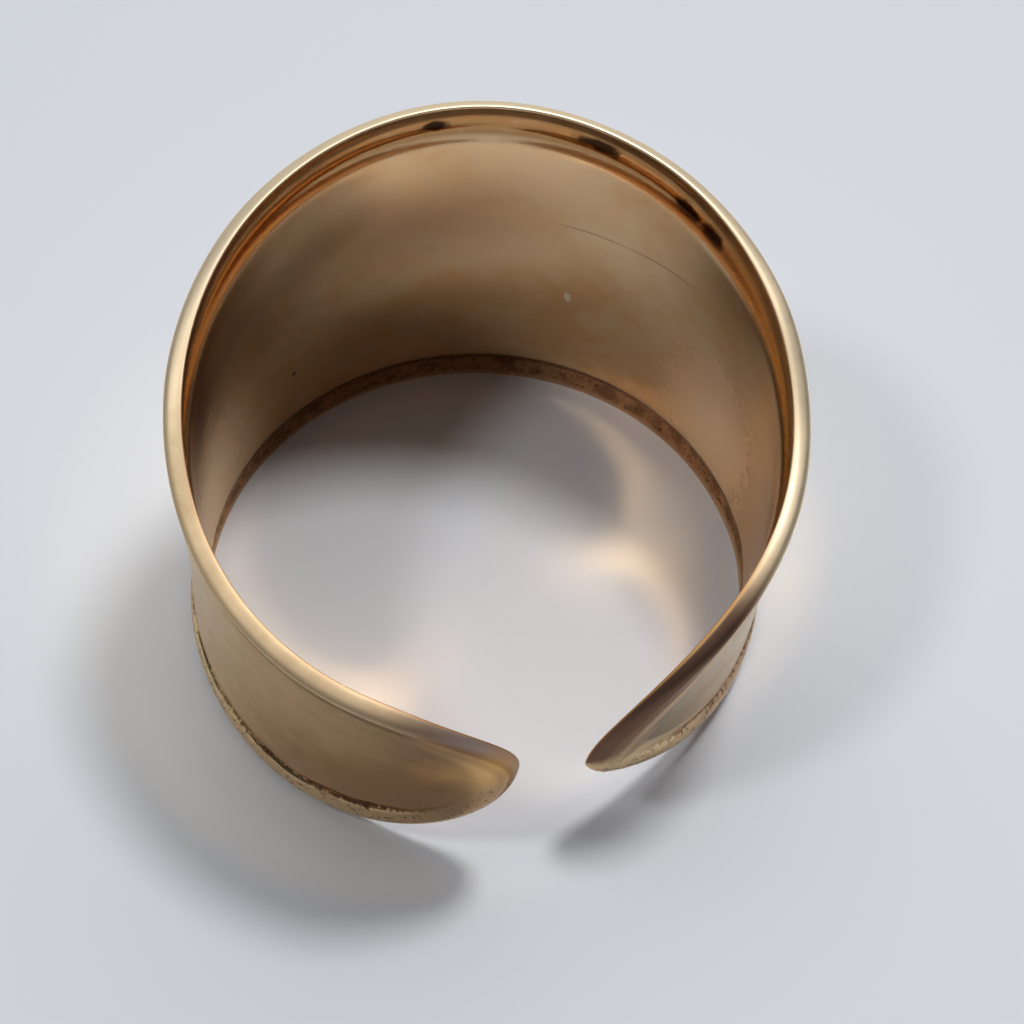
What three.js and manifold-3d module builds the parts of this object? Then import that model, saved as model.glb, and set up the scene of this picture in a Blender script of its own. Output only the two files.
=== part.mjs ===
// An open-backed finger ring: one strip of brass sheet, wide at the front, that tapers to two
// rounded ends and is bent into a hoop with a narrow gap between them. A pressed border runs
// all round its edge: thick and smooth outside, with a shallow cove behind it inside. Along the
// lower edge the outside ends in a low hem.
// Millimetres, +Z up. The ring lies on its side as it rests on a table: the wide front is
// towards +Y, the gap towards -Y, and the lower edge stands on the plane z = 0. The origin is
// the middle of the base of its bounding box.
import * as THREE from 'three';
import { mergeVertices } from 'three/addons/utils/BufferGeometryUtils.js';
import Module from 'manifold-3d';

// Driving dimensions of the hoop, seen along its own axis.
const FINGER_RADIUS = 9.3;          // inner face at the middle of the front
const BEND_LENGTH = 29;             // arc length that the bend factors below are stated for
const BEND_SKEW = 0.162;            // the arm on +X curls sooner than the one on -X ...
const BEND_TIGHTEN = 0.212;         // ... both arms curl more tightly than the front ...
const BEND_SKEW_CUBIC = -0.402;     // ... the last stretch of the arm on -X curls inwards ...
const BEND_TIGHTEN_QUARTIC = -0.379;  // ... and both arms' last stretches are flatter again
const LEAN = THREE.MathUtils.degToRad(5.229);   // the hoop's axis leans towards the gap at rest

// The strip before it is bent: arc lengths from the middle of the front, heights along the axis.
const ARM_LENGTHS = { minusX: 28.49, plusX: 26.92 };
const TIP_HEIGHTS = { minusX: 0.23, plusX: -1.71 };
const LOWER_EDGE_HEIGHT = -7.19;    // at the middle of the front
const LOWER_EDGE_LIFT = {           // how far the edge rises out of the plane it stands in
  minusX: [
    { along: 0, height: 0 },
    { along: 0.6, height: 0 },
    { along: 0.75, height: 0 },
    { along: 0.88, height: 0.72 },
    { along: 1, height: 0.87 },
  ],
  plusX: [
    { along: 0, height: 0 },
    { along: 0.45, height: 0 },
    { along: 0.6, height: 0.31 },
    { along: 0.75, height: 0.31 },
    { along: 0.88, height: 0.82 },
    { along: 1, height: 1.49 },
  ],
};
const UPPER_EDGE_SKEW = 0.09;       // the arm on -X is this much wider at its end, the other less
const UPPER_EDGE = [                // along: share of the arm's length
  { along: 0, height: 8.25 },
  { along: 0.25, height: 7.57 },
  { along: 0.45, height: 6.11 },
  { along: 0.6, height: 4.69 },
  { along: 0.75, height: 4.02 },
  { along: 0.88, height: 3.62 },
  { along: 1, height: 2.86 },
];
const END_STARTS = { minusX: 0.83, plusX: 0.7 };   // share of the arm before its rounded end
const END_FULLNESS = 2.2;           // exponent of the rounded end: 2 is an ellipse
const SPINE_REACH = 0.7;            // how far the strip's middle line runs into a rounded end

// The border's section. inset: distance from the strip's edge. rise: outwards from the inner
// face, for the upper edge and for the lower one, where they differ.
const EDGE_RISE = 0.26;
const BORDER_SECTION = [
  { inset: 1.8, rise: 0.59, lowerRise: 0.53 },    // outer field
  { inset: 1.42, rise: 0.63, lowerRise: 0.52 },   // foot of the hem
  { inset: 1.2, rise: 0.65, lowerRise: 0.64 },
  { inset: 0.85, rise: 0.69, lowerRise: 0.7 },
  { inset: 0.5, rise: 0.7 },
  { inset: 0.28, rise: 0.65 },
  { inset: 0.1, rise: 0.48 },
  { inset: 0, rise: EDGE_RISE },    // top of the edge
  { inset: 0.04, rise: 0.12 },      // inner lip
  { inset: 0.3, rise: 0.18 },
  { inset: 0.65, rise: 0.25 },      // bottom of the cove
  { inset: 1.05, rise: 0.21 },
  { inset: 1.35, rise: 0.09 },
  { inset: 1.6, rise: 0.015 },      // soft bend between the cove and the inner face
  { inset: 1.9, rise: 0 },          // inner face
];
const FIELD_RISE = { outer: 0.46, inner: 0 };
const WORN_FLAT_DEPTH = 0.04;       // the lower edge is worn flat by this much where it stands

// How finely the curved faces are divided.
const HOOP_STEPS = 80;              // along the hoop between the two rounded ends
const END_STEPS = 32;               // round each end
const PLAN_STEP = 0.05;             // arc length between the sampled points of the hoop's plan

const BRASS = { color: 0xa3835c, roughness: 0.34, metalness: 1 };

/** Height on a smooth curve through the table's points, level at its first row. */
function smoothHeight(table, along) {
  const slopeAt = (row) => {
    if (row === 0) return 0;
    const before = table[row - 1];
    const after = table[Math.min(row + 1, table.length - 1)];
    return (after.height - before.height) / (after.along - before.along);
  };
  let row = 0;
  while (row < table.length - 2 && along > table[row + 1].along) row += 1;
  const start = table[row];
  const finish = table[row + 1];
  const span = finish.along - start.along;
  const t = (along - start.along) / span;
  const blend = t * t * (3 - 2 * t);
  const leaving = t * (1 - t) * (1 - t) * span * slopeAt(row);
  const arriving = t * t * (t - 1) * span * slopeAt(row + 1);
  return THREE.MathUtils.lerp(start.height, finish.height, blend) + leaving + arriving;
}

/** Direction in which the hoop's plan runs at an arc length, 0 along +X at the front. */
function planHeading(arc) {
  const share = arc / BEND_LENGTH;
  const growth = 1
    + (BEND_SKEW * share) / 2
    + (BEND_TIGHTEN * share ** 2) / 3
    + (BEND_SKEW_CUBIC * share ** 3) / 4
    + (BEND_TIGHTEN_QUARTIC * share ** 4) / 5;
  return -(arc / FINGER_RADIUS) * growth;
}

/** Points of the hoop's plan at equal arc steps away from the front, towards one arm. */
function planSamples(side, length) {
  const points = [new THREE.Vector2(0, FINGER_RADIUS)];
  const count = Math.ceil(length / PLAN_STEP) + 1;
  for (let i = 0; i < count; i += 1) {
    const heading = planHeading(side * (i + 0.5) * PLAN_STEP);
    const stride = new THREE.Vector2(Math.cos(heading), Math.sin(heading));
    points.push(points[i].clone().addScaledVector(stride, side * PLAN_STEP));
  }
  return points;
}

const PLAN = {
  minusX: planSamples(-1, ARM_LENGTHS.minusX),
  plusX: planSamples(1, ARM_LENGTHS.plusX),
};

/** Point of the inner face's plan at an arc length. */
function planPoint(arc) {
  const samples = arc < 0 ? PLAN.minusX : PLAN.plusX;
  const place = Math.abs(arc) / PLAN_STEP;
  const index = Math.min(Math.floor(place), samples.length - 2);
  return samples[index].clone().lerp(samples[index + 1], place - index);
}

/** Bends a point of the flat strip into the hoop: arc along, height up, rise outwards. */
function bend(arc, height, rise) {
  const heading = planHeading(arc);
  const outward = new THREE.Vector2(-Math.sin(heading), Math.cos(heading));
  const plan = planPoint(arc).addScaledVector(outward, rise);
  return new THREE.Vector3(plan.x, plan.y, height);
}

/** Heights of the strip's two edges at an arc length, before the ends are rounded. */
function edgeHeights(arc) {
  const arm = arc < 0 ? 'minusX' : 'plusX';
  const share = arc / ARM_LENGTHS[arm];
  const upper = smoothHeight(UPPER_EDGE, Math.abs(share)) - UPPER_EDGE_SKEW * share;
  const behindFront = FINGER_RADIUS + EDGE_RISE - bend(arc, 0, EDGE_RISE).y;
  const standing = LOWER_EDGE_HEIGHT + Math.tan(LEAN) * behindFront;
  const lower = standing + Math.max(0, smoothHeight(LOWER_EDGE_LIFT[arm], Math.abs(share)));
  return { upper, lower };
}

/** Point on the strip's middle line, halfway between its two edges. */
function spinePoint(arc) {
  const { upper, lower } = edgeHeights(arc);
  return new THREE.Vector2(arc, (upper + lower) / 2);
}

/**
 * One rounded end: edge points from the upper edge round to the lower, with spine points.
 * lowness runs from 0 at the upper edge to 1 at the lower one.
 */
function endOutline(arm, side) {
  const start = side * END_STARTS[arm] * ARM_LENGTHS[arm];
  const reach = (1 - END_STARTS[arm]) * ARM_LENGTHS[arm];
  const tip = new THREE.Vector2(start + side * reach, TIP_HEIGHTS[arm]);
  const outline = [];
  for (let i = 1; i < END_STEPS; i += 1) {
    const turn = Math.PI * (i / END_STEPS - 0.5);
    const share = Math.cos(turn) ** (2 / END_FULLNESS);
    const arc = start + side * reach * share;
    const edgeHeight = turn < 0 ? edgeHeights(arc).upper : edgeHeights(arc).lower;
    const height = THREE.MathUtils.lerp(tip.y, edgeHeight, Math.abs(Math.sin(turn)));
    const spine = spinePoint(start).lerp(tip, SPINE_REACH * share);
    outline.push({ edge: new THREE.Vector2(arc, height), spine, lowness: i / END_STEPS });
  }
  return outline;
}

/** The strip's whole outline, clockwise seen from outside, as endOutline lists its points. */
function stripOutline() {
  const first = -END_STARTS.minusX * ARM_LENGTHS.minusX;
  const last = END_STARTS.plusX * ARM_LENGTHS.plusX;
  const upperRun = [];
  const lowerRun = [];
  for (let i = 0; i <= HOOP_STEPS; i += 1) {
    const arc = THREE.MathUtils.lerp(first, last, i / HOOP_STEPS);
    const { upper, lower } = edgeHeights(arc);
    const spine = spinePoint(arc);
    upperRun.push({ edge: new THREE.Vector2(arc, upper), spine, lowness: 0 });
    lowerRun.push({ edge: new THREE.Vector2(arc, lower), spine, lowness: 1 });
  }
  const plusEnd = endOutline('plusX', 1);
  const minusEnd = endOutline('minusX', -1);
  return [...upperRun, ...plusEnd, ...lowerRun.reverse(), ...minusEnd.reverse()];
}

/** Unit directions from each outline point straight into the strip. */
function inwardDirections(outline) {
  return outline.map((_, i) => {
    const before = outline.at(i - 1).edge;
    const after = outline[(i + 1) % outline.length].edge;
    const along = after.clone().sub(before).normalize();
    return new THREE.Vector2(along.y, -along.x);
  });
}

/** The bent strip as one closed skin, from the outer field over the border to the inner face. */
function hoopGeometry() {
  const outline = stripOutline();
  const inward = inwardDirections(outline);
  const rows = BORDER_SECTION.length + 2;
  const positions = [];
  outline.forEach(({ edge, spine, lowness }, i) => {
    positions.push(...bend(spine.x, spine.y, FIELD_RISE.outer));
    BORDER_SECTION.forEach(({ inset, rise, lowerRise = rise }) => {
      const place = edge.clone().addScaledVector(inward[i], inset);
      positions.push(...bend(place.x, place.y, THREE.MathUtils.lerp(rise, lowerRise, lowness)));
    });
    positions.push(...bend(spine.x, spine.y, FIELD_RISE.inner));
  });
  const indices = [];
  for (let i = 0; i < outline.length; i += 1) {
    const here = i * rows;
    const next = ((i + 1) % outline.length) * rows;
    for (let row = 0; row < rows - 1; row += 1) {
      indices.push(here + row, next + row + 1, next + row);
      indices.push(here + row, here + row + 1, next + row + 1);
    }
  }
  const skin = new THREE.BufferGeometry();
  skin.setAttribute('position', new THREE.Float32BufferAttribute(positions, 3));
  skin.setIndex(indices);
  return withoutSlivers(mergeVertices(skin));
}

/** Drops the triangles that lost a side when shared corners were merged. */
function withoutSlivers(geometry) {
  const index = geometry.index.array;
  const kept = [];
  for (let i = 0; i < index.length; i += 3) {
    const corners = [index[i], index[i + 1], index[i + 2]];
    if (new Set(corners).size === 3) kept.push(...corners);
  }
  geometry.setIndex(kept);
  return geometry;
}

/** Turns a closed geometry with shared corners into a solid for cutting. */
function solidOf(wasm, geometry) {
  return new wasm.Manifold(new wasm.Mesh({
    numProp: 3,
    vertProperties: new Float32Array(geometry.attributes.position.array),
    triVerts: new Uint32Array(geometry.index.array),
  }));
}

/** Cuts away everything below a height, which leaves a level face where the ring stands. */
function wornFlat(wasm, geometry, floor) {
  const block = new THREE.BoxGeometry(4 * FINGER_RADIUS, 4 * FINGER_RADIUS, FINGER_RADIUS);
  block.translate(0, 0, floor - FINGER_RADIUS / 2);
  block.deleteAttribute('normal');
  block.deleteAttribute('uv');
  const cut = solidOf(wasm, geometry).subtract(solidOf(wasm, mergeVertices(block)));
  const mesh = cut.getMesh();
  const worn = new THREE.BufferGeometry();
  worn.setAttribute('position', new THREE.Float32BufferAttribute(mesh.vertProperties, 3));
  worn.setIndex(new THREE.Uint32BufferAttribute(mesh.triVerts, 1));
  return worn;
}

/** Moves a geometry so that the middle of the base of its bounding box is the origin. */
function standOnOrigin(geometry) {
  geometry.computeBoundingBox();
  const { min, max } = geometry.boundingBox;
  geometry.translate(-(min.x + max.x) / 2, -(min.y + max.y) / 2, -min.z);
}

const wasm = await Module();
wasm.setup();

const atRest = hoopGeometry();
atRest.rotateX(LEAN);
standOnOrigin(atRest);
const standing = wornFlat(wasm, atRest, WORN_FLAT_DEPTH);
standOnOrigin(standing);
standing.computeVertexNormals();

const band = new THREE.Mesh(standing, new THREE.MeshStandardMaterial(BRASS));
band.name = 'band';

const ring = new THREE.Group();
ring.add(band);

export default ring;
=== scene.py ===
"""Dress an open, tapered brass band ring that lies on its lower edge."""

import bmesh
import bpy
import logging
import math
from dataclasses import dataclass, field
from enum import Enum
from mathutils import Matrix, Vector, noise
from mathutils.geometry import intersect_point_line
from mathutils.kdtree import KDTree
from typing import Callable


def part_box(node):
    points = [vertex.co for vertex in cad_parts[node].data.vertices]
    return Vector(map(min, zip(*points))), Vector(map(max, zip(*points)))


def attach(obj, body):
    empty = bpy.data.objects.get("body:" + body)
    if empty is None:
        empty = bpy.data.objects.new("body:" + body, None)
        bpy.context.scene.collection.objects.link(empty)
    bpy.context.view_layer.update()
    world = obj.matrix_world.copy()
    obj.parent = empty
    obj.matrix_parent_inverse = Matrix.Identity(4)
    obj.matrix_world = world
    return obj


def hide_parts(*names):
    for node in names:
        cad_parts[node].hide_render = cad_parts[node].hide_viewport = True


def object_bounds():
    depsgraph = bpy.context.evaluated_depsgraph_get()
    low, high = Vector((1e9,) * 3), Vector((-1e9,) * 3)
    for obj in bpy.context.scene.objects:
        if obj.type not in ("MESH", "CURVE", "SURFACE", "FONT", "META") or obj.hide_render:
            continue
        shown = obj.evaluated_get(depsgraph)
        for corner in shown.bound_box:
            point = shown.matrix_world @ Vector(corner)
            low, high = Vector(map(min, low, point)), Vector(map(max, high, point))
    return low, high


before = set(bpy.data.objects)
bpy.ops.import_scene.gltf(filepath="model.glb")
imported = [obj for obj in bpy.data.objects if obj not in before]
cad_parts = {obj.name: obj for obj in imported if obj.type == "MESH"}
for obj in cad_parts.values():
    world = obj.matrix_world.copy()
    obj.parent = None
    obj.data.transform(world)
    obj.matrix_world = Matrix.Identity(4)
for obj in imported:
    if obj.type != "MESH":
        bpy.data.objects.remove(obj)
CAD_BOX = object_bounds()

LOG = logging.getLogger("ring")
MILLIMETRE = 0.001
TINY = 1e-6
TOUCHING = 1e-4
Pair = tuple[float, float]
Triple = tuple[float, float, float]
Tone = tuple[float, float, float, float]
Table = tuple[Pair, ...]
LIP_ROWS: Table = ((0.0, 0.2), (0.012, 0.23), (0.05, 0.3))
FIELD_ROWS: Table = ((4.0, 0.475), (6.0, 0.46))


class Arm(Enum):
    """The two arms of the band, by the side of the ring that each runs round."""

    LEFT = -1
    RIGHT = 1


def smooth_line(table: Table, place: float) -> float:
    """Read a value off a smooth line through a table.

    Args:
        table: Rows of place and value, in order of place.
        place: Where to read the line.

    Returns:
        The line's value there; past the last row, the last value.
    """
    def slope(row: int) -> float:
        """Find the line's slope at one row of the table.

        Args:
            row: The row's number.

        Returns:
            The slope, which is 0 at the first row.
        """
        if row == 0:
            return 0.0
        before, after = table[row - 1], table[min(row + 1, len(table) - 1)]
        return (after[1] - before[1]) / (after[0] - before[0])

    if place >= table[-1][0]:
        return table[-1][1]
    row = 0
    while row < len(table) - 2 and place > table[row + 1][0]:
        row += 1
    (start, low), (stop, high) = table[row], table[row + 1]
    span = stop - start
    part = (place - start) / span
    blend = part * part * (3 - 2 * part)
    return (low + (high - low) * blend + part * (1 - part) ** 2 * span * slope(row)
            + part * part * (part - 1) * span * slope(row + 1))


def ramp(value: float, low: float, high: float) -> float:
    """Return a smooth step from 0 at low to 1 at high."""
    part = min(max((value - low) / (high - low), 0), 1)
    return part * part * (3 - 2 * part)


def waver(arc: float, length: float, row: float) -> float:
    """Read a smooth random line along the strip; each row gives another line."""
    return noise.noise(Vector((arc / length, row, 0)))


def is_square(edge: bmesh.types.BMEdge, axis: str) -> bool:
    """Return whether an edge runs square to an axis."""
    first, second = (getattr(vertex.co, axis) for vertex in edge.verts)
    return abs(first - second) < TOUCHING


def bearing(azimuth: float, elevation: float) -> Vector:
    """Find the way out from the ring towards a bearing.

    Args:
        azimuth: Degrees from the front, towards the right.
        elevation: Degrees above the table.

    Returns:
        The way, one unit long.
    """
    turn, rise = math.radians(azimuth), math.radians(elevation)
    return Vector((math.sin(turn) * math.cos(rise), -math.cos(turn) * math.cos(rise),
                   math.sin(rise)))


@dataclass(frozen=True)
class BandSizes:
    """Sizes of the band in millimetres, measured on the flat strip unless said."""

    finger_radius: float = 9.3
    bend_length: float = 29.0
    bend_terms: tuple[float, ...] = (0.162, 0.212, -0.402, -0.379)
    plan_step: float = 0.05
    lean: float = math.radians(5.229)
    arm_lengths: dict[Arm, float] = field(
        default_factory=lambda: {Arm.LEFT: 28.49, Arm.RIGHT: 26.92})
    tip_heights: dict[Arm, float] = field(
        default_factory=lambda: {Arm.LEFT: 0.23, Arm.RIGHT: -1.71})
    lower_edge: float = -7.19
    lower_lifts: dict[Arm, Table] = field(default_factory=lambda: {
        Arm.LEFT: ((0.0, 0.0), (0.6, 0.0), (0.75, 0.0), (0.88, 0.72), (1.0, 0.87)),
        Arm.RIGHT: ((0.0, 0.0), (0.45, 0.0), (0.6, 0.31), (0.75, 0.31), (0.88, 0.82),
                    (1.0, 1.49))})
    edge_rise: float = 0.26
    upper_skew: float = 0.09
    upper_edge: Table = ((0.0, 8.25), (0.25, 7.57), (0.45, 6.11), (0.6, 4.69),
                         (0.75, 4.02), (0.88, 3.62), (1.0, 2.86))
    end_starts: dict[Arm, float] = field(
        default_factory=lambda: {Arm.LEFT: 0.83, Arm.RIGHT: 0.7})
    end_fullness: float = 2.2
    hoop_stations: int = 181
    end_stations: int = 44
    wall: float = 0.46
    border_rows: tuple[float, ...] = (
        0.0, 0.012, 0.05, 0.1, 0.16, 0.22, 0.28, 0.34, 0.4, 0.46, 0.55, 0.7, 0.85, 1.0, 1.1,
        1.17, 1.22, 1.27, 1.32, 1.37, 1.43, 1.52, 1.65, 1.8, 2.0, 2.2)
    field_cuts: int = 40
    smooth_angle: float = math.radians(60)
    inner_section: Table = (
        (0.0, 0.155), (0.012, 0.128), (0.05, 0.12), (0.3, 0.18), (0.65, 0.25),
        (1.05, 0.21), (1.35, 0.09), (1.6, 0.015), (1.9, 0.0), (2.1, 0.0))
    upper_section: Table = (
        (0.0, 0.26), (0.012, 0.34), (0.05, 0.5), (0.1, 0.61), (0.16, 0.665), (0.22, 0.69),
        (0.28, 0.69), (0.34, 0.665), (0.4, 0.635), (0.46, 0.622), (0.55, 0.622),
        (0.7, 0.624), (1.2, 0.615), (1.8, 0.575), (2.6, 0.525)) + FIELD_ROWS
    front_section: Table = LIP_ROWS + (
        (0.1, 0.38), (0.16, 0.465), (0.22, 0.54), (0.28, 0.6), (0.34, 0.65), (0.4, 0.685),
        (0.46, 0.695), (0.52, 0.675), (0.58, 0.645), (0.66, 0.64), (0.8, 0.65), (1.2, 0.64),
        (1.8, 0.59), (2.6, 0.53)) + FIELD_ROWS
    tip_section: Table = LIP_ROWS + (
        (0.1, 0.37), (0.16, 0.43), (0.22, 0.485), (0.28, 0.53), (0.4, 0.59), (0.55, 0.63),
        (0.8, 0.645), (1.2, 0.62), (1.8, 0.56), (2.6, 0.51)) + FIELD_ROWS
    lower_section: Table = LIP_ROWS + (
        (0.1, 0.39), (0.16, 0.48), (0.22, 0.55), (0.34, 0.64), (0.55, 0.69), (0.85, 0.69),
        (1.1, 0.655), (1.22, 0.6), (1.37, 0.545), (1.52, 0.535), (1.8, 0.54),
        (2.6, 0.52)) + FIELD_ROWS
    front_ends: Pair = (6.0, 13.0)
    lower_part: Pair = (0.3, 0.7)
    tip_fades: Pair = (0.84, 0.97)
    seam_inset: float = 1.3
    seam_width: float = 0.13
    seam_depth: float = 0.13
    seam_depth_shares: Triple = (0.65, 0.8, 0.1)
    seam_slope: float = 1.5
    seam_wander: float = 0.1
    sag: float = 0.02
    sag_lengths: Pair = (5.5, 4.5)
    ripple: float = 0.006
    ripple_lengths: Pair = (1.6, 1.4)
    ripple_row: float = 3.0
    true_edge: float = 2.0
    inner_row: float = 0.0
    outer_row: float = 9.0
    bend_points: int = 24
    bend_steps: int = 64


@dataclass(frozen=True)
class Station:
    """One cut across the flat strip, before and after the ends close in."""

    arc: float
    upper: float
    lower: float
    tip: float = 0.0
    openness: float = 1.0

    def closed(self, height: float) -> float:
        """Return where a height of the open strip lands once the ends close in."""
        return self.tip + (height - self.tip) * self.openness


class BandPlan:
    """The lines of the band: how it bends and where its two edges run."""

    def __init__(self, sizes: BandSizes) -> None:
        """Keep the sizes and walk along the bend of each arm.

        Args:
            sizes: The band's sizes.
        """
        self.sizes = sizes
        self.walks = {arm: self._walk(arm) for arm in Arm}

    def heading(self, arc: float) -> float:
        """Find which way the strip runs.

        Args:
            arc: Distance along the strip from its widest place.

        Returns:
            The angle of the strip in plan, in radians.
        """
        sizes = self.sizes
        share = arc / sizes.bend_length
        tighten = sum((term * share ** power / (power + 1)
                       for power, term in enumerate(sizes.bend_terms, start=1)), start=1.0)
        return -(arc / sizes.finger_radius) * tighten

    def _walk(self, arm: Arm) -> list[tuple[float, float]]:
        """Step along one arm of the bend in plan.

        Args:
            arm: The arm to walk along.

        Returns:
            Points a plan step apart, from the widest place outwards.
        """
        step = self.sizes.plan_step
        points = [(0.0, self.sizes.finger_radius)]
        for index in range(math.ceil(self.sizes.arm_lengths[arm] / step) + 1):
            turn = self.heading(arm.value * (index + 0.5) * step)
            x, y = points[-1]
            points.append((x + arm.value * step * math.cos(turn),
                           y + arm.value * step * math.sin(turn)))
        return points

    def point(self, arc: float) -> tuple[float, float]:
        """Find a point of the bend in plan.

        Args:
            arc: Distance along the strip from its widest place.

        Returns:
            The point's x and y.
        """
        walk = self.walks[Arm.LEFT if arc < 0 else Arm.RIGHT]
        along = abs(arc) / self.sizes.plan_step
        index = min(int(along), len(walk) - 2)
        share = along - index
        (x, y), (next_x, next_y) = walk[index], walk[index + 1]
        return x + (next_x - x) * share, y + (next_y - y) * share

    def edges(self, arc: float) -> tuple[float, float]:
        """Find the heights of the two edges before the ends close in.

        Args:
            arc: Distance along the strip from its widest place.

        Returns:
            The upper and the lower edge's heights.
        """
        sizes = self.sizes
        arm = Arm.LEFT if arc < 0 else Arm.RIGHT
        share = arc / sizes.arm_lengths[arm]
        upper = smooth_line(sizes.upper_edge, abs(share)) - sizes.upper_skew * share
        y = self.point(arc)[1] + math.cos(self.heading(arc)) * sizes.edge_rise
        lower = sizes.lower_edge + math.tan(sizes.lean) * (
            sizes.finger_radius + sizes.edge_rise - y)
        return upper, lower + max(0.0, smooth_line(sizes.lower_lifts[arm], abs(share)))

    def stations(self) -> list[Station]:
        """List the cuts across the strip.

        Returns:
            The cuts, from the left tip to the right tip.
        """
        sizes = self.sizes
        ends: dict[Arm, list[Station]] = {}
        for arm in Arm:
            start = sizes.end_starts[arm] * sizes.arm_lengths[arm]
            reach = sizes.arm_lengths[arm] - start
            ends[arm] = []
            for index in range(1, sizes.end_stations + 1):
                turn = math.pi / 2 * (1 - index / sizes.end_stations)
                arc = arm.value * (start + reach * math.cos(turn) ** (2 / sizes.end_fullness))
                ends[arm].append(Station(arc, *self.edges(arc), sizes.tip_heights[arm],
                                         math.sin(turn)))
        first = -sizes.end_starts[Arm.LEFT] * sizes.arm_lengths[Arm.LEFT]
        last = sizes.end_starts[Arm.RIGHT] * sizes.arm_lengths[Arm.RIGHT]
        hoop = []
        for index in range(sizes.hoop_stations):
            arc = first + (last - first) * index / (sizes.hoop_stations - 1)
            hoop.append(Station(arc, *self.edges(arc)))
        return ends[Arm.LEFT][::-1] + hoop + ends[Arm.RIGHT]


class Bench:
    """The few hand tools that shape a mesh in edit mode."""

    def __init__(self, name: str) -> None:
        """Put a new flat sheet on the bench, one unit square.

        Args:
            name: The name of the piece that is made of it.
        """
        bpy.ops.object.select_all(action="DESELECT")
        bpy.ops.mesh.primitive_plane_add(size=1, rotation=(math.pi / 2, 0, 0))
        self.piece = bpy.context.object
        self.piece.name = name
        bpy.ops.object.transform_apply(location=True, rotation=True, scale=True)

    def hold(self) -> None:
        """Select the piece alone and make it the active one."""
        bpy.ops.object.select_all(action="DESELECT")
        self.piece.select_set(True)
        bpy.context.view_layer.objects.active = self.piece

    def open(self) -> None:
        """Enter edit mode with nothing selected."""
        self.hold()
        bpy.ops.object.mode_set(mode="EDIT")
        bpy.ops.mesh.select_all(action="DESELECT")

    def close(self) -> None:
        """Leave edit mode."""
        bpy.ops.object.mode_set(mode="OBJECT")

    def mesh(self) -> bmesh.types.BMesh:
        """Return the mesh as it stands in edit mode."""
        return bmesh.from_edit_mesh(self.piece.data)

    def pick_points(self) -> None:
        """Let single points be picked, and start with none."""
        bpy.context.tool_settings.mesh_select_mode = (True, False, False)
        bpy.ops.mesh.select_all(action="DESELECT")

    def pick_edges(self, wanted: Callable[[bmesh.types.BMEdge], bool]) -> None:
        """Select only the edges that pass a test.

        Args:
            wanted: Says whether an edge is wanted.
        """
        bpy.context.tool_settings.mesh_select_mode = (False, True, False)
        bpy.ops.mesh.select_all(action="DESELECT")
        mesh = self.mesh()
        for edge in mesh.edges:
            if wanted(edge):
                edge.select_set(True)
        bmesh.update_edit_mesh(self.piece.data)

    def finish_with(self, name: str, kind: str, **settings: object) -> None:
        """Add one modifier and apply it.

        Args:
            name: The modifier's name.
            kind: The modifier's type.
            **settings: The modifier's settings.
        """
        self.hold()
        modifier = self.piece.modifiers.new(name, kind)
        for key, setting in settings.items():
            setattr(modifier, key, setting)
        bpy.ops.object.modifier_apply(modifier=modifier.name)

    def shift(self, way: Triple) -> None:
        """Move the whole mesh.

        Args:
            way: How far it moves along each axis.
        """
        self.open()
        bpy.ops.mesh.select_all(action="SELECT")
        bpy.ops.transform.translate(value=way)
        self.close()

    def lift(self, name: str, lift: Callable[[int], float]) -> None:
        """Move each point of the flat strip outwards by its own lift.

        Args:
            name: The name of the move.
            lift: Gives the lift of a point by its index, in millimetres.
        """
        lifts = [lift(index) for index in range(len(self.piece.data.vertices))]
        low, high = min(lifts), max(lifts)
        span = max(high - low, TINY)
        group = self.piece.vertex_groups.new(name=name)
        for index, value in enumerate(lifts):
            group.add([index], (value - low) / span, "REPLACE")
        self.finish_with(name, "DISPLACE", direction="Y", mid_level=0.0, strength=span,
                         vertex_group=name)
        self.shift((0, low, 0))
        self.piece.vertex_groups.remove(self.piece.vertex_groups[name])


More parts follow.
